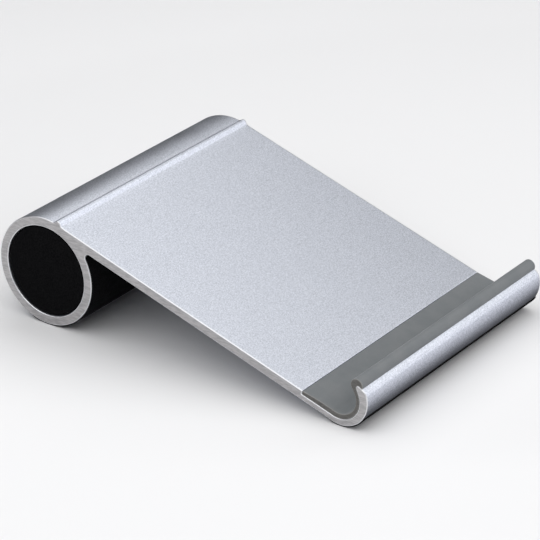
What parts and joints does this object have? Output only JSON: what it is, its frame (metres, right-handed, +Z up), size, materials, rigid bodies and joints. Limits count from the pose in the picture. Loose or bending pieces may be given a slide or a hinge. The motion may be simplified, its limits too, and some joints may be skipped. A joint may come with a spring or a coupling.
{
  "type": "tablet stand",
  "caption": "Sloping aluminium tablet stand: a rear tube stores a loose padded roller, a flat plate slopes down to a silicone-lined hook that holds the tablet's lower edge.",
  "frame": {"origin": "centre of the bounding box's bottom face, on the desk", "axes": "+X along the tube, to the right seen from the user; +Y away from the user, from the hook to the tube; +Z up"},
  "size_m": [0.12, 0.1715, 0.046],
  "materials": {
    "anodised_aluminium": "fine bead-blasted, clear anodised",
    "grey_silicone": "matte moulded silicone",
    "adhesive_film": "black double-sided acrylic film",
    "foot_rubber": "matte black sheet rubber",
    "core_aluminium": "plain drawn tube",
    "roller_rubber": "matte fine-grained black rubber",
    "cap_plastic": "matte grained black"
  },
  "bodies": {
    "stand": {"stand_body": "anodised_aluminium", "lip_liner": "grey_silicone", "liner_tape": "adhesive_film", "rear_foot_pad": "foot_rubber", "rear_foot_tape": "adhesive_film", "front_foot_strip": "foot_rubber", "front_foot_tape": "adhesive_film"},
    "roller": {"roller_core": "core_aluminium", "roller_sleeve": "roller_rubber", "roller_cap_left": "cap_plastic", "roller_cap_right": "cap_plastic"}
  },
  "joints": [
    {"name": "roller_slide", "type": "slide", "parent": "stand", "child": "roller", "axis": [1, 0, 0], "range_m": [-0.125, 0.125]}
  ]
}
